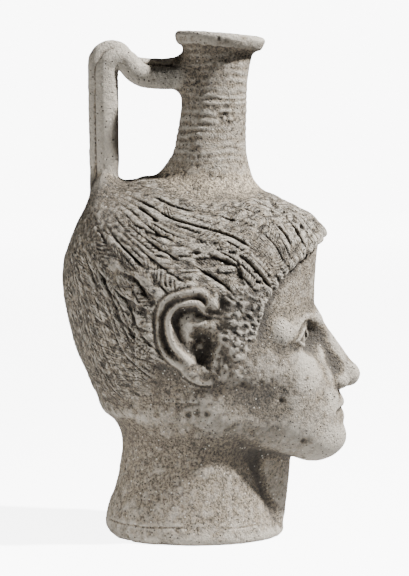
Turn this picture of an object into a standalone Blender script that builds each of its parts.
"""A lagynos of fired clay: a flask shaped as a head, with a turned neck, a disc lip and a handle of two rods.

The whole vessel is one hollow body. It stands on its flat foot with the origin at the middle of the foot's
underside, +Z up, and the head looks along -Y. The head, hair and ears are carved on a grid of head units:
the head is 178 units high, so a unit is a millimetre at the size modelled here.
"""

import math

import bmesh
import bpy
import numpy as np

HEAD_HEIGHT = 0.178      # from the foot to the root of the turned neck
NECK_HEIGHT = 0.072      # from there to the top of the lip
NECK_RADIUS = 0.0157
NECK_LEAN = math.radians(4.8)
LIP_OVERHANG = 0.0066    # how far the lip stands out round the neck
LIP_THICKNESS = 0.0072
WALL = 0.005
FLOOR = 0.006
ROD_RADIUS = 0.0059
ROD_OVERLAP = 0.0016     # how far the two rods are pressed into each other, which makes them one strap
STRAP_LEAN = math.radians(25)
FINGER_GAP = 0.0286      # from the root of the neck back to the strap
KNEE_INSIDE = 0.0004     # the radius left on the inner side of the rods where they bend over at the knee
HANDLE_CLEARANCE = 0.004    # between the lip's underside and the level stretch of the strap
HAIR_THICKNESS = 0.0034
LOCK_DEPTH = 0.0017
EAR_RELIEF = 0.0066
LOCK_COUNT = 42
LOCK_TIP = 1.8           # in head units: how far a lock's middle hangs below its edges

UNIT = HEAD_HEIGHT / 178
BODY_COLUMNS = 252
BODY_ROWS = 300
BODY_TRIANGLES = 6900
CAVITY_COLUMNS = 26
CAVITY_ROWS = 34
FOOT_TOLERANCE = 0.0004

# Rings of the plain form under the face and the hair, from the foot up, in head units. Each ring is
# two half ellipses: its centre's y, its front point (y, z), its side point (x, z), its back point (y, z).
RINGS = (
    (-1.0, -42.4, 0.0, 37.6, 0.0, 40.2, 0.0),
    (-1.0, -44.2, 0.9, 39.3, 0.9, 42.3, 0.9),
    (-1.0, -44.7, 3.0, 39.9, 3.0, 43.7, 3.2),
    (-1.0, -43.0, 7.0, 39.6, 7.0, 44.4, 7.0),
    (-1.0, -39.6, 14.0, 38.3, 14.0, 43.1, 14.0),
    (-1.0, -36.3, 22.5, 36.6, 22.5, 39.9, 23.0),
    (-1.0, -34.2, 32.0, 35.2, 33.0, 37.1, 34.0),
    (-1.0, -33.4, 41.0, 35.0, 42.0, 35.7, 43.5),
    (-1.0, -34.5, 48.0, 36.3, 49.5, 36.5, 51.6),
    (0.0, -37.5, 55.0, 39.4, 56.0, 38.9, 56.8),
    (0.0, -41.0, 62.0, 41.8, 62.0, 44.3, 63.2),
    (1.0, -45.5, 71.0, 43.4, 71.0, 45.9, 71.0),
    (2.0, -50.0, 81.5, 45.2, 81.5, 50.0, 82.0),
    (3.0, -54.5, 92.0, 46.8, 92.0, 55.0, 93.0),
    (3.0, -58.0, 103.0, 47.6, 104.0, 58.7, 106.0),
    (3.0, -60.0, 115.0, 47.6, 116.0, 61.2, 117.5),
    (3.0, -60.8, 127.0, 46.9, 128.0, 62.0, 129.5),
    (2.0, -61.3, 138.0, 44.8, 139.0, 60.7, 140.0),
    (1.0, -62.0, 148.8, 41.3, 148.5, 57.6, 149.5),
    (-1.0, -57.9, 157.3, 35.7, 157.5, 52.8, 159.6),
    (-3.0, -50.0, 161.6, 29.2, 164.0, 46.4, 166.6),
    (-5.0, -41.0, 166.0, 24.0, 169.5, 36.0, 171.6),
    (-6.5, -34.0, 171.4, 21.2, 174.5, 25.5, 175.8),
    (-7.0, -30.6, 176.8, 19.8, 179.2, 18.0, 180.2),
    (-7.5, -28.8, 182.5, 19.4, 184.0, 13.2, 185.5),
)
NECK_ROOT = 178.0
NECK_AXIS = (-7.3, 178.0)         # the point that the neck leans about, y and z
# The lip from its underside round to its top, as shares of how far it stands out and how thick it is.
LIP_PROFILE = ((0.4, 0), (0.7, 0.14), (0.9, 0.4), (1, 0.68), (0.9, 0.91), (0.56, 1), (0, 1))
NECK_FLARE = ((0.15, 3.3), (0.28, 1.6), (0.41, 0.5), (0.58, 0.0))   # share of its height, extra radius

# The masses of the face, in head units, one side only where x is not 0: centre, radii, width of the blend.
BALLS = (
    ((0.0, -41.0, 70.0), (30.5, 31.0, 26.0), 10.0),
    ((0.0, -57.0, 65.0), (18.0, 15.4, 15.5), 8.0),
    ((0.0, -64.3, 49.2), (11.5, 12.0, 9.4), 7.0),
)
# Tapered rods: both ends, both radii, width of the blend.
JAW = ((31.0, -9.0, 70.0), (8.0, -57.5, 51.5), 11.0, 11.5, 14.0)
CHEEK = ((21.5, -46.5, 84.0), (37.0, -20.0, 90.0), 9.0, 8.0, 16.0)
THROAT = ((0.0, -30.0, 48.0), (0.0, -36.0, -2.0), 20.0, 9.0, 3.0)
BROW = ((5.0, -57.4, 107.0), (31.0, -42.0, 104.5), 7.0, 6.0, 6.0)
NOSE_BRIDGE = ((0.0, -60.2, 106.0), (0.0, -76.2, 81.0), 4.4, 5.8, 4.0)
NOSE_SIDE = ((3.5, -58.0, 100.0), (6.8, -64.5, 79.0), 4.0, 5.4, 4.0)
UPPER_LIP = ((2.2, -71.6, 66.4), (12.4, -65.6, 63.4), 3.9, 2.2, 2.5)
LOWER_LIP = ((2.0, -71.3, 59.6), (10.6, -66.2, 62.2), 4.2, 2.4, 2.0)
EYE_SOCKET = ((18.8, -63.8, 100.8), (12.4, 11.0, 8.4), 5.0)
EYEBALL = ((18.4, -42.2, 100.2), (12.6, 12.6, 12.6), 1.5)
NOSE_TIP = ((0.0, -77.0, 80.2), (6.0, 6.4, 5.8), 2.5)
NOSE_WING = ((5.5, -71.8, 77.4), (3.8, 5.8, 4.3), 1.8)
NOSTRIL = ((3.7, -75.4, 73.0), (2.0, 2.8, 2.0), 1.2)

EYE = (18.4, 100.0)       # middle of the eye, x and z
EYE_HALF_WIDTH = 9.6
UPPER_LID = 4.7
LOWER_LID = 3.0
MOUTH_HEIGHT = 62.9
MOUTH_HALF_WIDTH = 13.5

# The face is met from outside along rays, which turn down in front between the throat and the cheeks.
FACE_BACK = 14.0
FACE_TOP = 150.0
FACE_REACH = 46.0
JAW_FROM = (24.0, 44.0)
JAW_TO = (100.0, 60.0)
JAW_TURN = 0.42

# The hair falls from a whorl at the root of the handle. Angles round the whorl from the forehead, and the
# angle from the whorl that the hair reaches there, in degrees.
HEAD_CENTRE = np.array((0.0, -2.0, 112.0))
WHORL = np.array((0.0, 48.0, 168.0))
HAIRLINE = (
    (0, 100.5), (11, 101), (30, 102.5), (44, 106), (55, 110), (64, 117), (72, 123.5), (82, 123.5),
    (89, 121), (95, 112), (105, 102), (122, 97), (139, 105), (153, 103), (180, 98),
)
FORWARD_SWEEP = 0.3          # how far the locks over the temple are combed forward, an angle round the whorl
BARE_RING = (21.0, 33.0)     # where the hair starts and is full, measured from the axis of the turned neck
CROWN = 170.0
NAPE = (54.0, 62.0)

# The ear as it lies on the side of the head, y and z: its free edge from the top of the front round to the
# lobe, its front edge back up, the inner fold, the deepest place of its bowl and the flap in front of that.
EAR_EDGE = (
    (-10.8, 121.2), (-8.9, 124.9), (-4.8, 127.6), (1.5, 127.8), (10.2, 125.7), (15.6, 121.6), (18.5, 115.4),
    (19.0, 109.4), (18.5, 101.7), (16.0, 95.4), (11.4, 90.1), (7.3, 86.8), (3.6, 82.7), (-2.3, 79.6),
    (-8.0, 78.8),
)
EAR_FRONT = ((-11.0, 84.4), (-10.6, 92.4), (-12.0, 101.4), (-12.4, 112.4))
EAR_FOLD = (
    (-5.8, 117.9), (-0.8, 120.0), (7.0, 118.8), (12.0, 112.9), (11.3, 104.4), (7.8, 96.9), (2.6, 91.2),
)
EAR_BOWL = (-4.2, 97.9)
TRAGUS = (-12.0, 95.4)
RIM_STARTS = (83.4, 96.4)        # the heights over which the rolled rim grows up from the lobe
LOBE_HEIGHTS = (94.0, 82.0)      # where the ear thins out into the flat lobe
APRON = (86.0, 98.0)             # and those over which the clay behind the ear is built up
BARE_AHEAD = (-22.0, -9.0)       # where the hair gives out in front of the ear, y and z
BARE_ABOVE = (125.4, 117.4)

# The strap, in head units. Its upright stretch leans in a little: at heights above the neck's root, and then
# below the level stretch. Its knee rises above the level stretch in one arc, and comes down to it in a wider
# one. Then how much wider the rods are at their two roots.
UPRIGHT_FOOT = ((-1.4, -20.0), (-0.6, -4.0), (-0.5, 10.0))
UPRIGHT_HEAD = ((-0.1, -14.0), (0.0, -4.0))
KNEE_RADIUS = (ROD_RADIUS + KNEE_INSIDE) / UNIT
KNEE_RISE = 8.8
SAG_RADIUS = 12.0
HEAD_FLARE = 1.08
NECK_ROOT_FLARE = 1.3
HEAD_FILLET = (9.0, 3.4)     # how far the clay is drawn up round the root on the head, and how wide it runs
NECK_FILLET = (6.5, 3.0)     # the same on the neck
HEAD_ROOT_HEIGHTS = (-40.0, -28.0)    # heights from the neck's root over which each fillet sets in
NECK_ROOT_HEIGHTS = (30.0, 40.0)
HEAD_ROOT_AHEAD = (14.0, 22.0)        # where the fillet on the head sets in, and gives out behind the strap
HEAD_ROOT_BEHIND = (10.0, -2.0)

# The inside, in head units: the curve from the floor up to the wall, as shares of the way out and heights
# above the floor, and the flare of the bore at the mouth, as extra radius and height above the lip.
FLOOR_CURVE = ((0.62, 0.0), (0.86, 0.7), (0.96, 2.4))
MOUTH = ((0.0, -6.0), (0.0, -3.0), (0.7, -1.2), (2.4, 0.4), (4.0, 4.0))


def through(knots, values, at):
    """A smooth curve through values at the knots, read at other places."""
    knots = np.asarray(knots, float)
    values = np.asarray(values, float)
    slopes = np.gradient(values, knots, axis=0)
    i = np.clip(np.searchsorted(knots, at, side="right") - 1, 0, len(knots) - 2)
    step = knots[i + 1] - knots[i]
    t = (at - knots[i]) / step
    if values.ndim > 1:
        step, t = step[:, None], t[:, None]
    rise = values[i + 1] - values[i]
    start = slopes[i] * step
    end = slopes[i + 1] * step
    return values[i] + t * (start + t * (3 * rise - 2 * start - end + t * (start + end - 2 * rise)))


def ease(low, high, value):
    """0 below low, 1 above high, and a smooth step between."""
    t = np.clip((value - low) / (high - low), 0, 1)
    return t * t * (3 - 2 * t)


def bump(offset, width):
    return np.exp(-((offset / width) ** 2))


def neck_axis(z):
    """The y of the leaning neck's axis at a height."""
    return NECK_AXIS[0] - math.tan(NECK_LEAN) * (z - NECK_AXIS[1])


def neck_rings():
    """The turned neck and its lip, as rings like those of the head."""
    height = NECK_HEIGHT / UNIT
    neck = NECK_RADIUS / UNIT
    overhang = LIP_OVERHANG / UNIT
    thick = LIP_THICKNESS / UNIT
    top = NECK_ROOT + height
    under = top - thick
    profile = [(neck + extra, NECK_ROOT + share * height) for share, extra in NECK_FLARE]
    profile += [(neck, under - 9), (neck + 0.3, under - 4.5), (neck + 1.3, under - 1.3)]
    profile += [(neck + out * overhang, under + up * thick) for out, up in LIP_PROFILE]
    rings = []
    for radius, z in profile:
        y = neck_axis(z)
        rings.append((y, y - radius, z, radius, z, y + radius, z))
    return rings


def ring_table():
    """All the rings, and how far each lies from the foot along the form."""
    rings = np.array(list(RINGS) + neck_rings())
    steps = np.diff(rings, axis=0)
    lengths = sum(np.hypot(steps[:, i], steps[:, i + 1]) for i in (1, 3, 5)) / 3
    return rings, np.concatenate(([0], np.cumsum(lengths)))


def share_at(height):
    """The share of the way from the foot to the lip at which the form's side reaches a height."""
    rings, along = ring_table()
    return np.interp(height, rings[:, 4], along) / along[-1]


def loft(at, columns):
    """Points of the plain form: a row of them for each share of the way from the foot to the lip."""
    rings, along = ring_table()
    columns_of_rings = through(along, rings, at * along[-1]).T[..., None]
    centre, front_y, front_z, side_x, side_z, back_y, back_z = columns_of_rings
    turn = 2 * math.pi * np.arange(columns) / columns
    ahead = np.clip(np.cos(turn), 0, None)
    behind = np.clip(-np.cos(turn), 0, None)
    x = side_x * np.sin(turn)
    y = centre + (front_y - centre) * ahead + (back_y - centre) * behind
    z = side_z + (front_z - side_z) * ahead**2 + (back_z - side_z) * behind**2
    z = z + (y - centre) * math.tan(NECK_LEAN) * ease(NECK_ROOT, NECK_ROOT + 14, side_z)
    return np.stack((x, y, z), axis=-1)


def outward(grid):
    across = np.roll(grid, -1, axis=1) - np.roll(grid, 1, axis=1)
    up = np.gradient(grid, axis=0)
    normal = np.cross(across, up)
    return normal / np.maximum(np.linalg.norm(normal, axis=-1, keepdims=True), 1e-9)


def ball(p, centre, radii):
    offset = p - np.array(centre)
    near = np.linalg.norm(offset / radii, axis=-1)
    slope = np.linalg.norm(offset / np.square(radii), axis=-1)
    return near * (near - 1) / np.maximum(slope, 1e-9)


def rod(p, start, end, start_radius, end_radius):
    start = np.array(start)
    line = np.array(end) - start
    share = np.clip(((p - start) @ line) / (line @ line), 0, 1)
    radius = start_radius + (end_radius - start_radius) * share
    return np.linalg.norm(p - start - share[..., None] * line, axis=-1) - radius


def join(a, b, width):
    """Two distances as one form, with a fillet where they meet."""
    near = np.clip(width - np.abs(a - b), 0, None)
    return np.minimum(a, b) - near * near / (4 * width)


def cut(a, b, width):
    return -join(-a, b, width)


def masses(p, plain):
    """Distance to the large forms: the plain head with the jaw, cheeks, chin and throat."""
    side = p * np.array((1.0, 1.0, 1.0))
    side[..., 0] = np.abs(side[..., 0])
    field = plain
    for centre, radii, blend in BALLS:
        field = join(field, ball(side, centre, radii), blend)
    for start, end, start_radius, end_radius, blend in (JAW, CHEEK, THROAT):
        field = join(field, rod(side, start, end, start_radius, end_radius), blend)
    return field


def features(p, plain):
    """Distance to the head with its brow, eyes, nose and lips."""
    side = p * np.array((1.0, 1.0, 1.0))
    side[..., 0] = np.abs(side[..., 0])
    field = masses(p, plain)
    for part in (BROW, NOSE_SIDE, NOSE_BRIDGE):
        field = join(field, rod(side, *part[:4]), part[4])
    field = cut(field, ball(side, *EYE_SOCKET[:2]), EYE_SOCKET[2])
    for part in (EYEBALL, NOSE_TIP, NOSE_WING):
        field = join(field, ball(side, *part[:2]), part[2])
    for part in (UPPER_LIP, LOWER_LIP):
        field = join(field, rod(side, *part[:4]), part[4])
    return cut(field, ball(side, *NOSTRIL[:2]), NOSTRIL[2])


def reach(base, rays, form, level=0.0):
    """How far along each ray from the plain form the form's surface lies, coming from outside."""
    far = np.full(base.shape[:-1], level)
    ahead = (base[..., 1] < FACE_BACK) & (base[..., 2] < FACE_TOP)
    start, ray = base[ahead], rays[ahead]
    away = np.full(len(start), FACE_REACH)
    for _ in range(46):
        away = away - 0.85 * (form(start + ray * away[:, None], away) - level)
    far[ahead] = level + (away - level) * ease(0, 8, start[:, 2])
    return far


def view_rays(base):
    """Rays square to the plain form, turned down under the jaw so that they meet it squarely too."""
    rays = outward(base)
    ahead = ease(-0.3, 0.5, -rays[..., 1])
    low = ease(*JAW_FROM, base[..., 2]) * ease(*JAW_TO, base[..., 2])
    rays = rays.copy()
    rays[..., 2] -= JAW_TURN * ahead * low
    return rays / np.linalg.norm(rays, axis=-1, keepdims=True)


def face_relief(p):
    """The eyelids and the line of the mouth, raised or cut along the rays."""
    x = np.abs(p[..., 0])
    z = p[..., 2]
    front = ease(-40, -48, p[..., 1])
    across = (x - EYE[0]) / EYE_HALF_WIDTH
    arch = np.clip(1 - across**2, 0, None)
    open_eye = ease(1.12, 0.9, np.abs(across))
    upper = z - EYE[1] - UPPER_LID * arch
    lower = z - EYE[1] + LOWER_LID * arch
    lids = 1.15 * bump(upper - 0.5, 1.1) + 0.75 * bump(lower + 0.4, 0.9) - 0.5 * bump(upper - 3.6, 1.0)
    mouth = z - MOUTH_HEIGHT - 0.7 * bump(x - 5.0, 4.0) + 0.5 * ease(8, 14, x)
    seam = -0.9 * bump(mouth, 1.0) * ease(MOUTH_HALF_WIDTH + 1.2, MOUTH_HALF_WIDTH - 1.5, x)
    groove = -0.7 * bump(x, 1.6) * bump(z - 70.2, 2.6)
    return front * (lids * open_eye + seam + groove)


def to_line(y, z, points):
    """Distance from (y, z) to a line through the points."""
    best = np.full(y.shape, 1e9)
    for (y0, z0), (y1, z1) in zip(points[:-1], points[1:]):
        dy, dz = y1 - y0, z1 - z0
        share = np.clip(((y - y0) * dy + (z - z0) * dz) / (dy * dy + dz * dz), 0, 1)
        best = np.minimum(best, np.hypot(y - y0 - share * dy, z - z0 - share * dz))
    return best


def inside(y, z, points):
    """Whether (y, z) lies within the closed outline of the points."""
    within = np.zeros(y.shape, bool)
    for (y0, z0), (y1, z1) in zip(points, points[1:] + points[:1]):
        crosses = (z0 > z) != (z1 > z)
        within ^= crosses & (y < (y1 - y0) * (z - z0) / (z1 - z0 + 1e-9) + y0)
    return within


def rounded(points, count=6):
    """The line through the points with its corners taken off."""
    steps = np.arange(len(points))
    fine = np.linspace(0, len(points) - 1, count * (len(points) - 1) + 1)
    return [tuple(point) for point in through(steps, np.array(points), fine)]


def ear_relief(p):
    """The ears, which stand out along x: rim, groove, inner fold, bowl and lobe."""
    y = p[..., 1]
    z = p[..., 2]
    edge = rounded(EAR_EDGE)
    outline = edge + list(EAR_FRONT)
    rim = to_line(y, z, edge)
    depth = np.where(inside(y, z, outline), 1, -1) * to_line(y, z, outline + outline[:1])
    plate = ease(-2.2, 1.0, depth) * ease(30, 38, np.abs(p[..., 0]))
    lean = ease(-12.5, 3.0, y) * (1 - 0.3 * ease(8.5, 11.0, rim))
    roll = (0.2 + 0.32 * ease(*RIM_STARTS, z)) * bump(rim - 2.1, 2.6)
    groove = -0.16 * bump(rim - 5.6, 1.5) * ease(*RIM_STARTS, z)
    fold = to_line(y, z, rounded(EAR_FOLD))
    second = 0.34 * bump(fold, 2.2) - 0.18 * bump(fold - 4.2, 1.9) * ease(7.5, 9.5, rim)
    bowl = np.hypot((y - EAR_BOWL[0]) / 8.0, (z - EAR_BOWL[1]) / 9.5)
    flap = 0.16 * bump(np.hypot((y - TRAGUS[0]) / 3.6, (z - TRAGUS[1]) / 3.2), 1.0)
    form = 0.5 * lean + roll + groove + second + flap - 0.6 * ease(1.3, 0.3, bowl)
    form = form * (1 - 0.5 * ease(*LOBE_HEIGHTS, z))
    behind = ease(-5, 1, y) * (0.25 + 0.75 * ease(*APRON, z))
    apron = 0.6 * np.exp(-np.clip(-depth, 0, None) / 6.0) * behind
    on_side = ease(30, 38, np.abs(p[..., 0]))
    relief = EAR_RELIEF / UNIT * (plate * form + (1 - plate) * apron * on_side)
    bare = ease(*BARE_AHEAD, y) * ease(*BARE_ABOVE, z) * ease(8, 4, y) * on_side
    return relief, np.maximum(plate * ease(-13.0, -8.0, y), 0.85 * bare)


def hair_angles(p):
    """Angle round the whorl, from the forehead, and angle from the whorl, for each point."""
    axis = (WHORL - HEAD_CENTRE) / np.linalg.norm(WHORL - HEAD_CENTRE)
    ahead = np.array((0.0, -axis[2], axis[1]))
    offset = p - HEAD_CENTRE
    level = offset @ ahead
    around = np.arctan2(offset[..., 0], level)
    down = np.arctan2(np.hypot(offset[..., 0], level), offset @ axis)
    return around, down


def hair_relief(p):
    """The locks: each keeps its angle round the whorl, swells between its grooves and ends in a round tip."""
    around, down = hair_angles(p)
    size = np.linalg.norm(p - HEAD_CENTRE, axis=-1)
    widths = np.random.default_rng(11).uniform(0.72, 1.28, LOCK_COUNT)
    edges = np.concatenate(([0], np.cumsum(widths))) / widths.sum() * 2 * math.pi - math.pi
    swing = 0.05 * np.sin(4.6 * down + 1.5 * np.sin(2 * around)) * ease(0.2, 0.7, down)
    forward = ease(0.75, 1.9, down) * bump(np.abs(around) - 1.0, 0.7)
    swing = swing + np.sign(around) * FORWARD_SWEEP * forward
    turned = np.mod(around + swing + math.pi, 2 * math.pi) - math.pi
    number = np.interp(turned, edges, np.arange(LOCK_COUNT + 1))
    across = 2 * (number % 1) - 1
    line = through(*np.radians(np.array(HAIRLINE, float)).T, np.abs(around))
    tip = line + (0.5 * (1 - across**2) - 0.25) * LOCK_TIP / size
    inward = (tip - down) * size
    nape = ease(2.2, 2.9, np.abs(around))
    soft = 1.1 + 9.0 * nape
    cover = ease(-0.3 * soft, 1.7 * soft, inward)
    root = np.hypot(p[..., 0], p[..., 1] - NECK_AXIS[0])
    cover = cover * ease(*BARE_RING, root + 0.35 * np.clip(CROWN - p[..., 2], 0, None))
    cover = cover * ease(NECK_ROOT + 8, NECK_ROOT - 4, p[..., 2]) * ease(*NAPE, p[..., 2])
    spread = np.sin(down) * size
    whorl = ease(8, 22, spread)
    every = np.where(np.floor(number).astype(int) % 2 == 0, 1.0, ease(20, 40, spread))
    crest = 1 - np.abs(across) ** 2.4
    strand = 0.25 * np.cos(2 * math.pi * across) * ease(26, 44, spread)
    roll = 0.45 * bump(inward - 3.4, 3.0) * ease(2.3, 1.6, np.abs(around))
    locks = LOCK_DEPTH / UNIT * whorl * (every * (crest - 0.62) + strand + roll)
    return cover * (HAIR_THICKNESS / UNIT + locks)


def rod_offsets():
    """How far each rod's centre lies from the middle of the strap: sideways, and outwards on the far one."""
    half = (2 * ROD_RADIUS - ROD_OVERLAP) / UNIT / 2
    return half * math.cos(STRAP_LEAN), half * math.sin(STRAP_LEAN)


def handle_places():
    """Where the strap runs: the y of its upright stretch and the z of its level stretch, in head units."""
    sideways, proud = rod_offsets()
    upright = NECK_AXIS[0] + (NECK_RADIUS + FINGER_GAP + ROD_RADIUS) / UNIT + proud
    lip_underside = NECK_ROOT + (NECK_HEIGHT - LIP_THICKNESS) / UNIT
    level = lip_underside - (HANDLE_CLEARANCE + ROD_RADIUS) / UNIT - proud
    return upright, level


def knee(upright, level):
    """The two arcs that take the strap from its upright stretch over to its level one."""
    centre = np.array((upright - KNEE_RADIUS, level + KNEE_RISE - KNEE_RADIUS))
    rise = level + SAG_RADIUS - centre[1]
    reach_back = math.sqrt((KNEE_RADIUS + SAG_RADIUS) ** 2 - rise**2)
    turn = math.pi - math.asin(rise / (KNEE_RADIUS + SAG_RADIUS))
    over = [centre + KNEE_RADIUS * np.array((math.cos(a), math.sin(a))) for a in np.linspace(0, turn, 8)]
    middle = centre + np.array((-reach_back, rise))
    down = [
        middle + SAG_RADIUS * np.array((math.cos(a), math.sin(a)))
        for a in np.linspace(turn - math.pi, -math.pi / 2, 6)
    ]
    return over + down[1:]


def handle_line():
    """The middle line of the strap from inside the head to the axis of the neck."""
    upright, level = handle_places()
    points = [(upright + lean, NECK_ROOT + height) for lean, height in UPRIGHT_FOOT]
    points += [(upright + lean, level + height) for lean, height in UPRIGHT_HEAD]
    points += knee(upright, level)
    points.append((neck_axis(level), level))
    return np.array(points)


def root_relief(p):
    """The clay smoothed up round both roots of the handle: how far it rises, and how far it stands back."""
    upright, level = handle_places()
    sideways, proud = rod_offsets()
    x = np.clip(np.abs(p[..., 0]) - sideways, 0, None)
    rod_size = ROD_RADIUS / UNIT
    on_head = np.hypot(x, p[..., 1] - upright - UPRIGHT_FOOT[1][0]) - rod_size
    strap = level + proud * np.clip(p[..., 0] / sideways, -1, 1)
    on_neck = np.hypot(x, p[..., 2] - strap) - rod_size
    head = HEAD_FILLET[0] * np.exp(-np.clip(on_head, -1, None) / HEAD_FILLET[1])
    neck = NECK_FILLET[0] * np.exp(-np.clip(on_neck, 0, None) / NECK_FILLET[1])
    head = head * ease(*HEAD_ROOT_HEIGHTS, p[..., 2] - NECK_ROOT) * ease(*HEAD_ROOT_AHEAD, p[..., 1])
    head = head * ease(*HEAD_ROOT_BEHIND, p[..., 1] - upright)
    neck = neck * ease(*NECK_ROOT_HEIGHTS, p[..., 2] - NECK_ROOT)
    neck = neck * ease(NECK_AXIS[0] + 1, NECK_AXIS[0] + 8, p[..., 1])
    return np.stack((0 * head, neck, head), axis=-1)


def carved(at, columns):
    """The whole outer surface: the plain form, the face, the ears, the hair and the handle's roots."""
    base = loft(at, columns)
    rays = view_rays(base)
    far = reach(base, rays, features)
    far = far + face_relief(base + rays * far[..., None])
    skin = base + rays * far[..., None]
    ears, plate = ear_relief(skin)
    hair = hair_relief(skin) * (1 - plate)
    roots = root_relief(skin)
    skin = skin + rays * hair[..., None] + roots
    skin[..., 0] += np.sign(skin[..., 0]) * ears
    return skin


def hollow(low, high, rows, columns):
    """The inner face of the wall, square to the large forms of the head and the neck, and smoothed."""
    finer = 4
    base = loft(np.linspace(low, high, finer * (rows - 1) + 1), finer * columns)
    rays = view_rays(base)
    far = reach(base, rays, masses, -WALL / UNIT)
    inner = base + rays * far[..., None]
    for _ in range(8):
        middle = (np.roll(inner, 1, axis=1) + np.roll(inner, -1, axis=1)) / 4 + inner / 2
        inner[1:-1] = (middle[:-2] + 2 * middle[1:-1] + middle[2:]) / 4
    return inner[::finer, ::finer]


def blank(name, grid):
    """A sphere whose rows are drawn over the grid's rows, from its bottom pole to its top pole."""
    rows, columns = grid.shape[0] - 1, grid.shape[1]
    mesh = bpy.data.meshes.new(name)
    ball_mesh = bmesh.new()
    bmesh.ops.create_uvsphere(ball_mesh, u_segments=columns, v_segments=rows, radius=1)
    ball_mesh.to_mesh(mesh)
    ball_mesh.free()
    points = np.empty(len(mesh.vertices) * 3)
    mesh.vertices.foreach_get("co", points)
    x, y, z = points.reshape(-1, 3).T
    row = np.rint((np.arcsin(np.clip(z, -1, 1)) / math.pi + 0.5) * rows).astype(int)
    column = np.rint(np.arctan2(x, -y) / (2 * math.pi) * columns).astype(int) % columns
    column = np.where((row == 0) | (row == rows), 0, column)
    placed = grid[row, column] * UNIT
    mesh.vertices.foreach_set("co", placed.ravel())
    mesh.update()
    return bpy.data.objects.new(name, mesh)


def closed(grid, bottom, bottom_rings, top, top_rings):
    """The grid with flat rings drawn in from its first and last rows to two middle points."""
    below = [bottom + (grid[0] - bottom) * share for share in np.linspace(0, 1, bottom_rings + 1)[:-1]]
    above = [top + (grid[-1] - top) * share for share in np.linspace(1, 0, top_rings + 1)[1:]]
    return np.concatenate((np.array(below), grid, np.array(above)))


def body_blank():
    rings = 6
    grid = carved(np.linspace(0, 1, BODY_ROWS - 2 * rings + 1), BODY_COLUMNS)
    top = grid[-1].mean(axis=0)
    return blank("body_blank", closed(grid, np.array((0.0, -1.0, 0.0)), rings, top, rings))


def cavity_blank():
    """The inside: a rounded floor, the wall's inner face, and a bore that opens at the mouth."""
    floor = FLOOR / UNIT
    top = NECK_ROOT + NECK_HEIGHT / UNIT
    low = share_at(floor + 6)
    high = share_at(top - LIP_THICKNESS / UNIT - 3)
    wall = hollow(low, high, CAVITY_ROWS - 9, CAVITY_COLUMNS)
    middle = np.array((0.0, -1.0, floor))
    foot = []
    for share, rise in FLOOR_CURVE:
        ring = middle + (wall[0] - middle) * share
        ring[:, 2] = floor + rise
        foot.append(ring)
    bore = (NECK_RADIUS - WALL) / UNIT
    turn = 2 * math.pi * np.arange(CAVITY_COLUMNS) / CAVITY_COLUMNS
    mouth = []
    for wider, rise in MOUTH:
        radius = bore + wider
        across = -radius * np.cos(turn)
        z = top + rise + across * math.tan(NECK_LEAN)
        mouth.append(np.stack((radius * np.sin(turn), neck_axis(top + rise) + across, z), axis=-1))
    grid = np.concatenate((np.array(foot), wall, np.array(mouth)))
    return blank("cavity", closed(grid, middle, 1, mouth[-1].mean(axis=0), 1))


def settled(piece):
    """Keeps what the modifiers make of a piece, or what a curve draws, as its mesh."""
    bpy.context.view_layer.update()
    mesh = bpy.data.meshes.new_from_object(piece.evaluated_get(bpy.context.evaluated_depsgraph_get()))
    solid = bpy.data.objects.new(piece.name + "_solid", mesh)
    solid.matrix_world = piece.matrix_world
    bpy.data.objects.remove(piece)
    return solid


def merged(mesh):
    solid = bmesh.new()
    solid.from_mesh(mesh)
    bmesh.ops.remove_doubles(solid, verts=solid.verts, dist=0.00001)
    solid.to_mesh(mesh)
    solid.free()


def lightened(piece, triangles):
    """The same form in fewer triangles, with its foot still flat."""
    fewer = piece.modifiers.new("fewer", "DECIMATE")
    piece.data.calc_loop_triangles()
    fewer.ratio = triangles / len(piece.data.loop_triangles)
    solid = settled(piece)
    for vertex in solid.data.vertices:
        if vertex.co.z < FOOT_TOLERANCE:
            vertex.co.z = 0.0
    return solid


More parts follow.
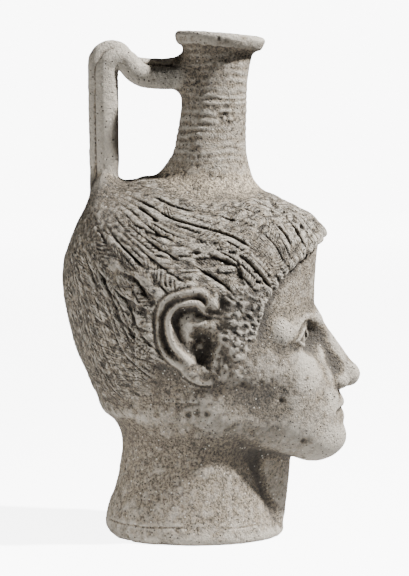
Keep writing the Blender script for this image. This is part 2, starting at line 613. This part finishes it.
def handle_rod(name, side):
    """One rod of the strap: side is -1 for the one nearer the neck and 1 for the one that stands proud."""
    line = handle_line()
    steps = np.concatenate(([0], np.cumsum(np.linalg.norm(np.diff(line, axis=0), axis=1))))
    at = np.linspace(0, steps[-1], 36)
    sideways, proud = (side * offset for offset in rod_offsets())
    curve = bpy.data.curves.new(name, "CURVE")
    curve.dimensions = "3D"
    curve.bevel_depth = ROD_RADIUS
    curve.bevel_resolution = 3
    curve.use_fill_caps = True
    spline = curve.splines.new("POLY")
    spline.points.add(len(at) - 1)
    for point, (y, z), place in zip(spline.points, through(steps, line, at), at):
        point.co = (sideways * UNIT, (y + proud) * UNIT, (z + proud) * UNIT, 1)
        head_end = (HEAD_FLARE - 1) * ease(24, 14, place)
        neck_end = (NECK_ROOT_FLARE - 1) * ease(steps[-1] - 26, steps[-1] - 14, place)
        point.radius = 1 + head_end + neck_end
    tube = settled(bpy.data.objects.new(name, curve))
    merged(tube.data)
    return tube


def combine(piece, other, operation):
    boolean = piece.modifiers.new(operation.lower(), "BOOLEAN")
    boolean.operation = operation
    boolean.solver = "EXACT"
    boolean.object = other


def clay():
    """Fired clay, warm and matt."""
    material = bpy.data.materials.new("fired clay")
    material.use_nodes = True
    shader = material.node_tree.nodes["Principled BSDF"]
    shader.inputs["Base Color"].default_value = (0.33, 0.27, 0.22, 1)
    shader.inputs["Roughness"].default_value = 0.85
    shader.inputs["Metallic"].default_value = 0.0
    return material


for leftover in list(bpy.data.objects):
    bpy.data.objects.remove(leftover)

work = bpy.context.scene.collection
body = body_blank()
work.objects.link(body)
flask = lightened(body, BODY_TRIANGLES)
flask.name = "flask"
flask.data.name = "flask"
flask.data.materials.clear()
flask.data.materials.append(clay())

vessel = bpy.data.collections.new("lagynos")
cutters = bpy.data.collections.new("cutters")
work.children.link(vessel)
work.children.link(cutters)
vessel.objects.link(flask)

joined = [handle_rod("near_rod", -1), handle_rod("far_rod", 1)]
cavity = cavity_blank()
for tool in joined + [cavity]:
    cutters.objects.link(tool)
    tool.hide_render = True
    tool.display_type = "WIRE"
for tool in joined:
    combine(flask, tool, "UNION")
combine(flask, cavity, "DIFFERENCE")
